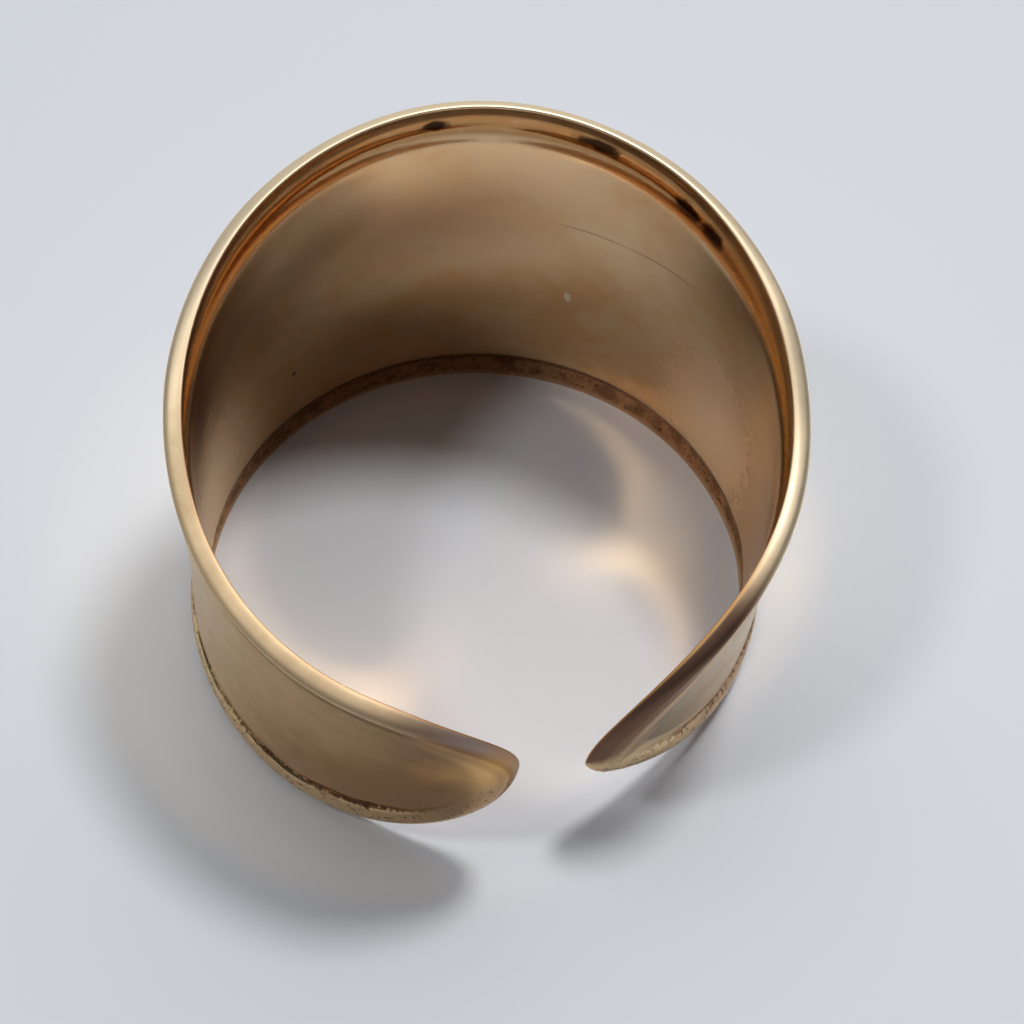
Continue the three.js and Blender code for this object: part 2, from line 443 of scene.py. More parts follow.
class OpenBand:
    """The whole ring: one strip of sheet with a raised border, bent into an open hoop."""

    def __init__(self, sizes: BandSizes) -> None:
        """Work out the band's lines.

        Args:
            sizes: The band's sizes.
        """
        self.sizes = sizes
        self.plan = BandPlan(sizes)
        self.stations = self.plan.stations()
        self.bench = Bench("open_band")

    def build(self) -> bpy.types.Object:
        """Make the band in its place.

        Returns:
            The finished mesh object, without a material.
        """
        self._cut_outline()
        self._lay_rows()
        self._close_ends()
        self.bench.finish_with("wall", "SOLIDIFY", thickness=self.sizes.wall, offset=-1.0)
        self._mark_places()
        self._raise_border()
        self._bend()
        self._stand()
        return self.bench.piece

    def _cut_outline(self) -> None:
        """Cut the flat outline of the strip out of the sheet, as a loop of edges."""
        bench = self.bench
        bench.open()
        bpy.ops.mesh.select_all(action="SELECT")
        bpy.ops.mesh.delete(type="ONLY_FACE")
        # One subdivide makes 100 cuts at most, so the long edges are quartered first.
        quarters = 4
        for parts in (quarters, (len(self.stations) - 1) // quarters):
            bench.pick_edges(lambda edge: is_square(edge, "z"))
            bpy.ops.mesh.subdivide(number_cuts=parts - 1)
        bench.pick_points()
        mesh = bench.mesh()
        upper = sorted((v for v in mesh.verts if v.co.z > 0), key=lambda v: v.co.x)
        lower = sorted((v for v in mesh.verts if v.co.z < 0), key=lambda v: v.co.x)
        for station, top, bottom in zip(self.stations, upper, lower):
            x = top.co.x
            top.select = bottom.select = True
            height = station.upper - station.lower
            bpy.ops.transform.resize(value=(1, 1, height), center_override=(x, 0, 0))
            bpy.ops.transform.translate(
                value=(station.arc - x, 0, (station.upper + station.lower) / 2))
            top.select = bottom.select = False
        bench.close()

    def _lay_rows(self) -> None:
        """Lay the rows of the border in from both edges and join them across the field."""
        bench = self.bench
        bench.open()
        bench.pick_edges(lambda edge: is_square(edge, "x"))
        bpy.ops.mesh.delete(type="EDGE")
        rows = self.sizes.border_rows
        for inwards in (-1, 1):
            bench.pick_edges(lambda edge: edge.is_wire and self._side(edge) == -inwards)
            for near, far in zip(rows, rows[1:]):
                bpy.ops.mesh.extrude_edges_move(
                    TRANSFORM_OT_translate={"value": (0, 0, inwards * (far - near))})
        depth = rows[-1]

        def is_inner(edge: bmesh.types.BMEdge) -> bool:
            """Return whether an edge is the last of the border rows."""
            return (edge.is_boundary and self._inset(edge.verts[0].co) > depth / 2
                    and self._inset(edge.verts[1].co) > depth / 2)

        bench.pick_edges(is_inner)
        bpy.ops.mesh.bridge_edge_loops(number_cuts=self.sizes.field_cuts,
                                       interpolation="LINEAR")
        bpy.ops.mesh.select_all(action="SELECT")
        bpy.ops.mesh.normals_make_consistent(inside=False)
        if sum(face.normal.y for face in bench.mesh().faces) > 0:
            bpy.ops.mesh.flip_normals()
        bench.close()

    def _side(self, edge: bmesh.types.BMEdge) -> int:
        """Find which long side of the strip an edge of the mesh lies nearer to.

        Args:
            edge: The edge of the mesh.

        Returns:
            1 for the upper side and -1 for the lower one.
        """
        middle = (edge.verts[0].co + edge.verts[1].co) / 2
        upper, lower = self.plan.edges(middle.x)
        return 1 if middle.z > (upper + lower) / 2 else -1

    def _inset(self, place: Vector) -> float:
        """Return how far in from the nearer edge a point of the open strip lies."""
        upper, lower = self.plan.edges(place.x)
        return min(upper - place.z, place.z - lower)

    def _close_ends(self) -> None:
        """Bring the two ends of the strip to their rounded tips."""
        bench = self.bench
        bench.open()
        bench.pick_points()
        columns: dict[float, list[bmesh.types.BMVert]] = {}
        for vertex in bench.mesh().verts:
            columns.setdefault(round(vertex.co.x, 3), []).append(vertex)
        for station in self.stations:
            if station.openness == 1:
                continue
            column = columns[round(station.arc, 3)]
            for vertex in column:
                vertex.select = True
            bpy.ops.transform.resize(value=(1, 1, station.openness),
                                     center_override=(station.arc, 0, station.tip))
            for vertex in column:
                vertex.select = False
        bpy.ops.mesh.select_all(action="SELECT")
        bpy.ops.mesh.remove_doubles(threshold=TOUCHING)
        bench.close()

    def _raise_border(self) -> None:
        """Raise the border on both faces of the sheet by each point's distance to the edge."""
        sizes, marks = self.sizes, self.bench.piece.data.attributes
        border = [item.value for item in marks["border"].data]
        lowness = [item.value for item in marks["lowness"].data]
        outside = [item.value > 0.5 for item in marks["outside"].data]
        places = [Vector(item.vector) for item in marks["strip"].data]

        def inner_lift(index: int) -> float:
            """Find the lift of a point of the inner face.

            Args:
                index: The point's index.

            Returns:
                The lift in millimetres, and 0 for any other point.
            """
            if outside[index]:
                return 0.0
            return (smooth_line(sizes.inner_section, border[index])
                    + self._unevenness(places[index], border[index], sizes.inner_row))

        def outer_lift(index: int) -> float:
            """Find the lift of a point of the outer face.

            Args:
                index: The point's index.

            Returns:
                The lift in millimetres, and 0 for any other point.
            """
            if not outside[index]:
                return 0.0
            upper = smooth_line(sizes.upper_section, border[index])
            front = smooth_line(sizes.front_section, border[index])
            upper += (front - upper) * (1 - ramp(abs(places[index].x), *sizes.front_ends))
            lower = smooth_line(sizes.lower_section, border[index])
            plain = smooth_line(sizes.tip_section, border[index])
            ending = self._ending(places[index].x)
            upper += (plain - upper) * ending
            lower += (plain - lower) * ending - (
                self._seam(places[index], border[index]) * (1 - ending))
            lift = upper + (lower - upper) * lowness[index] - sizes.wall
            return lift + self._unevenness(places[index], border[index], sizes.outer_row)

        self.bench.lift("inner_border", inner_lift)
        self.bench.lift("outer_border", outer_lift)

    def _ending(self, arc: float) -> float:
        """Find how far the border has faded into the plain tip.

        Args:
            arc: Distance along the strip from its widest place.

        Returns:
            0 along the hoop and 1 at the tip.
        """
        sizes = self.sizes
        share = abs(arc) / sizes.arm_lengths[Arm.LEFT if arc < 0 else Arm.RIGHT]
        return ramp(share, *sizes.tip_fades)

    def _unevenness(self, place: Vector, inset: float, row: float) -> float:
        """Find how far hand work left the sheet from true.

        Args:
            place: A place on the strip.
            inset: Its distance to the edge, which is true.
            row: Picks the pattern of one face.

        Returns:
            The lift in millimetres.
        """
        sizes = self.sizes
        (broad_x, broad_y), (fine_x, fine_y) = sizes.sag_lengths, sizes.ripple_lengths
        broad = noise.noise(Vector((place.x / broad_x, place.y / broad_y, row)))
        fine = noise.noise(Vector((place.x / fine_x, place.y / fine_y,
                                   row + sizes.ripple_row)))
        return (broad * sizes.sag + fine * sizes.ripple) * min(inset / sizes.true_edge, 1)

    def _seam(self, place: Vector, inset: float) -> float:
        """Find how deep the ragged seam above the hem is.

        Args:
            place: A place on the strip.
            inset: Its distance to the edge.

        Returns:
            The depth in millimetres.
        """
        sizes = self.sizes
        wander = waver(place.x, 1.3, 4.0) + 0.6 * waver(place.x, 0.45, 8.0)
        away = abs(inset - sizes.seam_inset - sizes.seam_wander * wander)
        if away >= sizes.seam_width:
            return 0.0
        usual, swing, least = sizes.seam_depth_shares
        share = max(least, usual + swing * waver(place.x, 2.2, 12.0))
        return sizes.seam_depth * share * (1 - away / sizes.seam_width) ** sizes.seam_slope

    def _mark_places(self) -> None:
        """Note where each point lies on the flat strip, for the finish to follow."""
        outline = [(s.arc, s.closed(s.upper)) for s in self.stations]
        outline += [(s.arc, s.closed(s.lower)) for s in reversed(self.stations[1:-1])]
        tree = KDTree(len(outline))
        for index, (arc, height) in enumerate(outline):
            tree.insert((arc, height, 0), index)
        tree.balance()
        mesh = self.bench.piece.data
        kinds = {"strip": "FLOAT_VECTOR", "border": "FLOAT", "outside": "FLOAT",
                 "lowness": "FLOAT", "ending": "FLOAT"}
        for name, kind in kinds.items():
            mesh.attributes.new(name, kind, "POINT")
        strip, border, outside, lowness, ending = (mesh.attributes[name] for name in kinds)
        spans = {round(s.arc, 3): (s.closed(s.upper), s.closed(s.lower))
                 for s in self.stations}
        for index, vertex in enumerate(mesh.vertices):
            place = Vector((vertex.co.x, vertex.co.z, 0))
            _, nearest, _ = tree.find(place)
            distance = math.inf
            for step in (-1, 0):
                first = Vector((*outline[nearest + step], 0))
                second = Vector((*outline[(nearest + step + 1) % len(outline)], 0))
                foot, share = intersect_point_line(place, first, second)
                share = min(max(share, 0), 1)
                distance = min(distance, (first.lerp(second, share) - place).length)
            strip.data[index].vector = (vertex.co.x, vertex.co.z, vertex.co.y)
            border.data[index].value = distance
            outside.data[index].value = float(vertex.co.y > self.sizes.wall / 2)
            upper, lower = spans[round(vertex.co.x, 3)]
            share = (upper - vertex.co.z) / (upper - lower) if upper > lower else 0.5
            lowness.data[index].value = ramp(share, *self.sizes.lower_part)
            ending.data[index].value = self._ending(vertex.co.x)

    def _bend(self) -> None:
        """Bend the flat strip round the finger."""
        sizes = self.sizes
        left, right = sizes.arm_lengths[Arm.LEFT], sizes.arm_lengths[Arm.RIGHT]
        bpy.ops.object.select_all(action="DESELECT")
        bpy.ops.curve.primitive_bezier_curve_add()
        former = bpy.context.object
        former.data.dimensions = "2D"
        former.data.resolution_u = sizes.bend_steps
        bpy.ops.object.mode_set(mode="EDIT")
        bpy.ops.curve.select_all(action="SELECT")
        bpy.ops.curve.subdivide(number_cuts=sizes.bend_points - 2)
        bpy.ops.object.mode_set(mode="OBJECT")
        points = former.data.splines[0].bezier_points
        step = (left + right) / (len(points) - 1)
        for index, point in enumerate(points):
            arc = -left + step * index
            place = Vector((*self.plan.point(arc), 0))
            turn = self.plan.heading(arc)
            handle = Vector((math.cos(turn), math.sin(turn), 0)) * step / 3
            point.handle_left_type = point.handle_right_type = "FREE"
            point.co = place
            point.handle_left = place - handle
            point.handle_right = place + handle
        self.bench.shift((left, 0, 0))
        self.bench.finish_with("bend", "CURVE", object=former, deform_axis="POS_X")
        bpy.data.objects.remove(former)

    def _stand(self) -> None:
        """Lean the hoop onto its lower edge, in the place of the CAD node."""
        bench, piece = self.bench, self.bench.piece
        bench.hold()
        piece.rotation_euler = (self.sizes.lean, 0, 0)
        piece.scale = (MILLIMETRE,) * 3
        bpy.ops.object.transform_apply(location=True, rotation=True, scale=True)
        low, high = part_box("band")
        reach = [(min(v.co[axis] for v in piece.data.vertices),
                  max(v.co[axis] for v in piece.data.vertices)) for axis in range(3)]
        piece.location = ((low[0] + high[0] - sum(reach[0])) / 2,
                          (low[1] + high[1] - sum(reach[1])) / 2, high[2] - reach[2][1])
        bpy.ops.object.transform_apply(location=True, rotation=True, scale=True)
        # What reaches below the CAD node's foot is pressed flat onto the table.
        bench.open()
        bench.pick_points()
        for vertex in bench.mesh().verts:
            vertex.select_set(vertex.co.z < low[2])
        bpy.ops.transform.resize(value=(1, 1, 0), center_override=(0, 0, low[2]))
        bench.close()
        bpy.ops.object.shade_smooth_by_angle(angle=self.sizes.smooth_angle)


class Value:
    """A number socket that takes part in sums written as Python expressions."""

    def __init__(self, sheet: "FinishSheet", socket: bpy.types.NodeSocket) -> None:
        """Wrap a socket.

        Args:
            sheet: The sheet that the socket's node stands on.
            socket: The socket that gives the number.
        """
        self.sheet = sheet
        self.socket = socket

    def _with(self, operation: str, *terms: "Value | float") -> "Value":
        """Add one Math node that works on the terms in order."""
        node = self.sheet.node("ShaderNodeMath", {"operation": operation},
                               dict(enumerate(terms)))
        return Value(self.sheet, node.outputs[0])

    def __add__(self, other: "Value | float") -> "Value":
        """Return self + other."""
        return self._with("ADD", self, other)

    __radd__ = __add__

    def __sub__(self, other: "Value | float") -> "Value":
        """Return self - other."""
        return self._with("SUBTRACT", self, other)

    def __rsub__(self, other: float) -> "Value":
        """Return other - self."""
        return self._with("SUBTRACT", other, self)

    def __mul__(self, other: "Value | float") -> "Value":
        """Return self * other."""
        return self._with("MULTIPLY", self, other)

    __rmul__ = __mul__

    def clamped(self) -> "Value":
        """Return the value held between 0 and 1."""
        return self._with("MINIMUM", self._with("MAXIMUM", self, 0.0), 1.0)

    def most(self, other: "Value | float") -> "Value":
        """Return the larger of two values."""
        return self._with("MAXIMUM", self, other)

    def rising(self, low: float, high: float) -> "Value":
        """Return a smooth step from 0 at low to 1 at high, also where high is the smaller."""
        node = self.sheet.node("ShaderNodeMapRange", {"interpolation_type": "SMOOTHSTEP"},
                               {0: self, 1: low, 2: high, 3: 0.0, 4: 1.0})
        return Value(self.sheet, node.outputs[0])

    def hump(self, middle: float, width: float) -> "Value":
        """Return a smooth hump that is 1 at the middle and 0 a width away."""
        away = self._with("ABSOLUTE", self - middle)
        return away.rising(width, 0.0)


class Outline(Enum):
    """How a patch ends: how far it frays, and at what reaches it is gone and is full."""

    FRAYED = (1.6, 1.3, 0.6)
    SOFT = (0.5, 1.7, 0.0)


@dataclass(frozen=True)
class Spot:
    """A patch on the flat strip: its middle and its half lengths, in millimetres."""

    arc: float
    height: float
    along: float
    across: float
    slant: float = 0.0
    outline: Outline = Outline.FRAYED


class FinishSheet:
    """One node tree, with the few ways to add to it."""

    def __init__(self, name: str = "", tree: bpy.types.NodeTree | None = None) -> None:
        """Start an empty sheet, on a new material or on a given node tree.

        Args:
            name: The new material's name, where no tree is given.
            tree: A node tree to clear and use instead.
        """
        if tree is None:
            self.material = bpy.data.materials.new(name)
            self.material.use_nodes = True
            tree = self.material.node_tree
        self.tree = tree
        self.tree.nodes.clear()

    def node(self, kind: str, settings: dict[str, object],
             inputs: dict[int | str, object]) -> bpy.types.Node:
        """Add one node.

        Args:
            kind: The node's type.
            settings: Its settings, set before its sockets.
            inputs: Values or links, by socket name or number.

        Returns:
            The new node.
        """
        node = self.tree.nodes.new(kind)
        for name, setting in settings.items():
            setattr(node, name, setting)
        for key, given in inputs.items():
            socket = node.inputs[key]
            source = given.socket if isinstance(given, Value) else given
            if isinstance(source, bpy.types.NodeSocket):
                self.tree.links.new(source, socket)
            else:
                socket.default_value = source
        return node

    def shade(self, inputs: dict[int | str, object]) -> bpy.types.Material:
        """End the sheet with one shader.

        Args:
            inputs: Values or links of the shader's sockets.

        Returns:
            The finished material.
        """
        shader = self.node("ShaderNodeBsdfPrincipled", {}, inputs)
        self.node("ShaderNodeOutputMaterial", {}, {0: shader.outputs[0]})
        return self.material

    def attribute(self, name: str) -> bpy.types.Node:
        """Return an Attribute node that reads one of the piece's own attributes."""
        return self.node("ShaderNodeAttribute",
                         {"attribute_type": "GEOMETRY", "attribute_name": name}, {})

    def number(self, name: str) -> Value:
        """Return the number that one of the piece's own attributes holds."""
        return Value(self, self.attribute(name).outputs["Fac"])

    def cloud(self, place: bpy.types.NodeSocket, scale: float, detail: float,
              roughness: float, stretch: Triple = (1.0, 1.0, 1.0),
              seed: float = 0.0) -> Value:
        """Add a noise pattern.

        Args:
            place: The place socket that the pattern reads.
            scale: Patches to a unit of place.
            detail: How many finer layers it has.
            roughness: How strong the finer layers are.
            stretch: Factors on the three directions of the place.
            seed: Shifts the pattern.

        Returns:
            The pattern's value, about 0.5 on average.
        """
        moved = self.node("ShaderNodeMapping", {"vector_type": "POINT"},
                          {"Vector": place, "Scale": stretch,
                           "Location": (seed, seed * 0.7, seed * 1.3)})
        node = self.node("ShaderNodeTexNoise", {"noise_dimensions": "3D"},
                         {"Vector": moved.outputs[0], "Scale": scale, "Detail": detail,
                          "Roughness": roughness})
        return Value(self, node.outputs[0])

    def spot(self, place: bpy.types.NodeSocket, spot: Spot, fray: Value) -> Value:
        """Add one soft patch with a frayed outline.

        Args:
            place: The place socket that the patch reads.
            spot: The patch's place and reach.
            fray: The pattern that frays its outline.

        Returns:
            1 in the patch's middle and 0 outside it.
        """
        moved = self.node("ShaderNodeVectorMath", {"operation": "SUBTRACT"},
                          {0: place, 1: (spot.arc, spot.height, 0.0)})
        turned = self.node("ShaderNodeMapping", {"vector_type": "POINT"},
                           {"Vector": moved.outputs[0], "Rotation": (0, 0, -spot.slant)})
        scaled = self.node("ShaderNodeVectorMath", {"operation": "MULTIPLY"},
                           {0: turned.outputs[0],
                            1: (1 / spot.along, 1 / spot.across, 0.0)})
        far = self.node("ShaderNodeVectorMath", {"operation": "LENGTH"},
                        {0: scaled.outputs[0]})
        away = Value(self, far.outputs["Value"])
        ragged, fades, full = spot.outline.value
        return (away + (fray - 0.5) * ragged).rising(fades, full)

    def blend(self, share: Value | float, first: object, second: object) -> object:
        """Blend two colours.

        Args:
            share: Share of the second colour.
            first: A colour or a colour socket.
            second: A colour or a colour socket.

        Returns:
            The blended colour's socket.
        """
        node = self.node("ShaderNodeMix", {"data_type": "RGBA"},
                         {0: share, 6: first, 7: second})
        return node.outputs[2]


class Coat:
    """The finish as it is laid on the band: what it reads there and the colour so far.

    Places along the strip and distances to its edge are in millimetres; a mask runs from 0,
    where a tone is absent, to 1.
    """

    def __init__(self, sheet: FinishSheet, ground: Tone) -> None:
        """Read the band's own attributes and add the patterns and the main masks.

        Args:
            sheet: The sheet to work on.
            ground: The first colour.
        """
        self.sheet = sheet
        self.colour: object = ground
        self.place = sheet.attribute("strip").outputs["Vector"]
        parts = sheet.node("ShaderNodeSeparateXYZ", {}, {0: self.place})
        self.arc = Value(sheet, parts.outputs["X"])
        self.away = self.arc.most(0 - self.arc)
        self.edge = sheet.number("border")
        self.outer = sheet.number("outside")
        self.inner = 1 - self.outer
        self.low = sheet.number("lowness")
        self.high = 1 - self.low
        self.ending = sheet.number("ending")
        self.mottle = sheet.cloud(self.place, 1.3, 3.0, 0.6, seed=3.0)
        self.specks = sheet.cloud(self.place, 7.0, 1.0, 0.6, seed=11.0)
        height = Value(sheet, parts.outputs["Y"])
        # Satin patches low on both sides inside: rougher and less metallic, and painted lighter as
        # a painted sheen.
        self.satin_and_sheen = self.away.hump(11.4, 4.5) * height.hump(-2.6, 5.5) * self.inner
        self.cove = self.edge.rising(1.55, 1.15) * self.inner
        self.foot = self.edge.rising(1.5, 1.2) * self.low * self.inner
        self.pits = self.specks.rising(0.6, 0.7) * (self.edge.rising(1.4, 1.0) * self.low)
        self.rim = self._rim()
        self.seam = self._seam()

    def _rim(self) -> Value:
        """Find where the rounded edge is, which is wider inside along the arms.

        Returns:
            The mask.
        """
        side = self.edge.rising(0.4, 0.2) * self.away.rising(10.0, 15.0)
        inside = self.edge.rising(0.1, 0.04).most(side) * self.inner
        return (self.edge.rising(0.42, 0.3) * self.outer + inside).clamped()

    def _seam(self) -> Value:
        """Find where the ragged seam above the hem is, which is wider on the left arm.

        Returns:
            The mask.
        """
        frayed = self.edge + (self.specks - 0.5) * 0.3 + (self.mottle - 0.5) * 0.3
        crevice = (frayed.hump(1.3, 0.13) * self.arc.rising(-17.5, -20.0)
                   * self.specks.rising(0.3, 0.45))
        seam = crevice.most(frayed.hump(1.3, 0.09) * 0.8)
        return seam * self.outer * self.low * (1 - self.ending)

    def lay(self, tone: Tone, share: Value) -> None:
        """Lay a tone over the colour so far, by its share."""
        self.colour = self.sheet.blend(share, self.colour, tone)

    def patches(self, spots: tuple[Spot, ...], fray: Value | None = None) -> Value:
        """Join several patches into one mask.

        Args:
            spots: The patches.
            fray: The pattern that frays their outlines, or none for the mottle.

        Returns:
            The mask, 1 in the patches' middles.
        """
        mask, *others = (self.sheet.spot(self.place, spot, fray or self.mottle)
                         for spot in spots)
        for other in others:
            mask = mask.most(other)
        return mask


@dataclass(frozen=True)
class AgedBrass:
    """Old gilt brass: bright where it rubs, brown where it is sheltered, with painted shade,
    reflections and sheen in its colour.

    An arc is negative on the left arm and positive on the right one.
    """

    gilt: Tone = (0.82, 0.60, 0.36, 1.0)
    warm: Tone = (0.72, 0.42, 0.185, 1.0)
    pale: Tone = (0.96, 0.80, 0.56, 1.0)
    olive: Tone = (0.78, 0.58, 0.315, 1.0)
    amber_reflection: Tone = (0.54, 0.28, 0.105, 1.0)
    honey_light: Tone = (0.80, 0.46, 0.17, 1.0)
    rust: Tone = (0.52, 0.27, 0.13, 1.0)
    # Dark tone for dirt in pits, scratches and nicks, and for painted shade and painted dark
    # reflections.
    dirt_and_shade: Tone = (0.045, 0.022, 0.011, 1.0)
    umber: Tone = (0.40, 0.24, 0.12, 1.0)
    chocolate: Tone = (0.20, 0.11, 0.075, 1.0)
    grey: Tone = (0.27, 0.20, 0.15, 1.0)
    lip: Tone = (0.62, 0.40, 0.24, 1.0)
    edge_tint: Tone = (0.94, 0.86, 0.74, 1.0)
    # Near-black tone for soot in the foot, and for painted shade under the bead and in the seam.
    soot_and_shade: Tone = (0.14, 0.06, 0.03, 1.0)
    gold: Tone = (0.90, 0.68, 0.40, 1.0)
    # Light tone of the satin patches, standing partly for a painted sheen; the smears use it too.
    satin_and_sheen: Tone = (0.97, 0.75, 0.50, 1.0)
    lilac_reflection: Tone = (0.62, 0.50, 0.46, 1.0)
    # Painted shade: soft darker patches on the inner wall, where its reflection is darker.
    painted_shades: tuple[Spot, ...] = (
        Spot(-3.6, 3.4, 2.6, 1.6, 0.2, Outline.SOFT), Spot(-0.5, 2.8, 5.2, 2.3, 0.1, Outline.SOFT),
        Spot(-12.5, 3.2, 1.6, 2.0, 0.1, Outline.SOFT))
    scratches: tuple[Spot, ...] = (
        Spot(5.1, 2.78, 1.5, 0.026), Spot(7.7, 2.86, 1.4, 0.03, 0.04))
    flecks: tuple[Spot, ...] = (Spot(4.52, -1.2, 0.13, 0.24, 0.2),)
    nicks: tuple[Spot, ...] = (Spot(-5.85, -2.78, 0.09, 0.09),)
    smears: tuple[Spot, ...] = (Spot(11.0, 4.2, 0.12, 0.3, 0.2, Outline.SOFT),)
    # A painted dark reflection across the left tip, and a real near-black spot on the right arm.
    tip_shade_and_dark_spot: tuple[Spot, ...] = (
        Spot(-26.75, -0.1, 0.34, 1.1, 0.7, Outline.SOFT),
        Spot(24.4, 1.45, 0.6, 0.35, -0.2, Outline.SOFT))
    warm_tip_highlights: tuple[Spot, ...] = (Spot(-27.0, 0.7, 1.5, 1.0, -0.5, Outline.SOFT),)
    # Painted reflections: dark spots where the cove mirrors darker surroundings.
    cove_dark_reflections: tuple[Spot, ...] = (
        Spot(-0.4, 7.35, 0.45, 0.2), Spot(4.8, 7.0, 0.85, 0.28, -0.2),
        Spot(8.0, 6.1, 0.5, 0.25, -0.3), Spot(9.2, 5.7, 0.5, 0.3, -0.4))
    roughness: float = 0.19
    relief: float = 0.25
    relief_depth: float = 0.00002

    def material(self) -> bpy.types.Material:
        """Make the material.

        Returns:
            The material, which reads the band's own attributes.
        """
        sheet = FinishSheet("aged_brass")
        coat = Coat(sheet, self.gilt)
        for lay in (self._field, self._left_arm, self._right_arm, self._cove, self._foot,
                    self._marks, self._border):
            lay(coat)
        grain = sheet.cloud(coat.place, 7.0, 2.0, 0.65, stretch=(0.25, 2.2, 1.0), seed=7.0)
        height = coat.mottle * 0.5 + grain * 0.35 - coat.pits * 4
        bump = sheet.node("ShaderNodeBump", {}, {"Strength": self.relief, "Height": height,
                                                 "Distance": self.relief_depth})
        return sheet.shade({"Base Color": coat.colour, "Metallic": 1 - coat.satin_and_sheen * 0.5,
                            "Specular Tint": self.edge_tint,
                            "Roughness": self._rough(coat, grain),
                            "Normal": bump.outputs[0]})

    def _field(self, coat: Coat) -> None:
        """Tarnish the broad faces, paint shade low inside, towards the sides and in soft patches,
        and paint a lighter sheen on the satin places.

        Args:
            coat: The coat to lay on.
        """
        patches = coat.sheet.cloud(coat.place, 0.3, 2.0, 0.55)
        # Random tarnish patches, plus painted shade on the lower inside and towards both sides.
        tarnish_and_shade = (patches.rising(0.38, 0.66) * 0.45 + coat.mottle.rising(0.4, 0.68) * 0.2
                   + coat.low * coat.inner * 0.5 + coat.away.rising(6.0, 12.0) * 0.4)
        coat.lay(self.warm, tarnish_and_shade.clamped())
        # Painted shade, laid in umber over the soft patches.
        coat.lay(self.umber, coat.patches(self.painted_shades) * 0.95)
        # Painted sheen: the satin patches are laid a lighter tone.
        coat.lay(self.satin_and_sheen, coat.satin_and_sheen * 0.8)
        coat.lay(self.olive, coat.outer * 0.85)

    def _left_arm(self, coat: Coat) -> None:
        """Brown the outside towards both tips, give the left one its hem, and paint the left tip's
        reflections and highlight.

        Args:
            coat: The coat to lay on.
        """
        arc, outer, ending = coat.arc, coat.outer, coat.ending
        left, left_end = arc.rising(-16.0, -22.0), arc.rising(-22.0, -25.0)
        right = arc.rising(18.0, 25.0)
        brown = (ending * 0.8 + left * (0.45 + coat.low * 0.5) + left_end * 0.2
                 + right * 0.85 + (coat.mottle - 0.5) * 0.6)
        coat.lay(self.umber, brown.clamped() * outer)
        hem = (coat.edge.rising(1.28, 1.15) * coat.low * arc.rising(-12.0, -15.0)
               * (1 - ending) * outer)
        coat.lay(self.gold, hem * 0.6)
        # Painted reflection: the tips' edges laid lilac, where they mirror the bluish table.
        coat.lay(self.lilac_reflection, coat.edge.rising(0.3, 0.1) * ending * outer * 0.8)
        # Painted dark reflection on the left tip, and the dark spot on the right arm.
        coat.lay(self.chocolate, coat.patches(self.tip_shade_and_dark_spot) * outer * 0.9)
        # Painted highlight: a warm honey patch at the upper left tip.
        coat.lay(self.honey_light, coat.patches(self.warm_tip_highlights) * outer)

    def _right_arm(self, coat: Coat) -> None:
        """Darken the outside of the right arm, which kept its tarnish in bands.

        Args:
            coat: The coat to lay on.
        """
        arc, mottle = coat.arc, coat.mottle
        arm = arc.rising(14.0, 17.0) * coat.outer
        frayed = coat.edge + (mottle - 0.5) * 0.6
        coat.lay(self.grey, arm * (0.6 + arc.rising(22.0, 25.0) * 0.35))
        coat.lay(self.gold, frayed.rising(1.35, 0.8) * coat.high * arm)
        brown = frayed.rising(1.45, 0.9) * coat.high * arc.rising(19.5, 21.5) * coat.outer
        coat.lay(self.lip, brown * 0.95)
        dark = frayed.rising(0.95, 0.6) * coat.high * arc.rising(20.5, 22.5) * coat.outer
        coat.lay(self.chocolate, dark * 0.95)
        hem = coat.edge.rising(1.75, 1.6) * coat.low * arm
        coat.lay(self.lip, hem * (0.5 + mottle.rising(0.35, 0.65) * 0.5))
        coat.lay(self.gold, hem * arc.rising(22.0, 24.0) * 0.8)
        coat.lay(self.rust, hem * mottle.rising(0.55, 0.7) * 0.7)
        coat.lay(self.pale, coat.edge.hump(1.75, 0.12) * coat.low * arm * 0.7)

    def _cove(self, coat: Coat) -> None:
        """Paint the hollow under the upper edge, inside, with the amber of light bounced between
        brass faces and with dark reflections.

        Args:
            coat: The coat to lay on.
        """
        cove = coat.cove * coat.high
        # Painted reflection: amber from light bounced between the brass faces, lighter honey
        # towards the right.
        coat.lay(self.amber_reflection, cove * (0.95 - coat.mottle.rising(0.5, 0.8) * 0.4))
        coat.lay(self.honey_light, cove * coat.arc.rising(8.5, 12.0) * 0.7)
        # Painted reflections: dark spots in the cove.
        coat.lay(self.dirt_and_shade, coat.patches(self.cove_dark_reflections) * coat.cove)

    def _foot(self, coat: Coat) -> None:
        """Rust the hollow along the lower edge, inside, fill its pits, and paint shade into its
        crease.

        Args:
            coat: The coat to lay on.
        """
        low_inside = coat.low * coat.inner
        coat.lay(self.rust, coat.foot)
        coat.lay(self.soot_and_shade, coat.foot * coat.mottle.rising(0.4, 0.6) * 0.6)
        coat.lay(self.dirt_and_shade, coat.pits * 0.8)
        # Painted shade: a dark line along the crease at the top of the foot's ridge.
        coat.lay(self.dirt_and_shade, coat.edge.hump(1.42, 0.24) * low_inside * (0.3 + coat.mottle * 0.5))
        coat.lay(self.lip, coat.edge.rising(0.34, 0.1) * low_inside * 0.85)

    def _marks(self, coat: Coat) -> None:
        """Add the few single marks on the inner face.

        Args:
            coat: The coat to lay on.
        """
        even = 0.5 + (coat.mottle - 0.5) * 0.3
        for spots, tone, share in ((self.scratches, self.dirt_and_shade, 0.55),
                                   (self.flecks, self.pale, 0.9),
                                   (self.nicks, self.dirt_and_shade, 0.9),
                                   (self.smears, self.satin_and_sheen, 0.4)):
            coat.lay(tone, coat.patches(spots, even) * coat.inner * share)

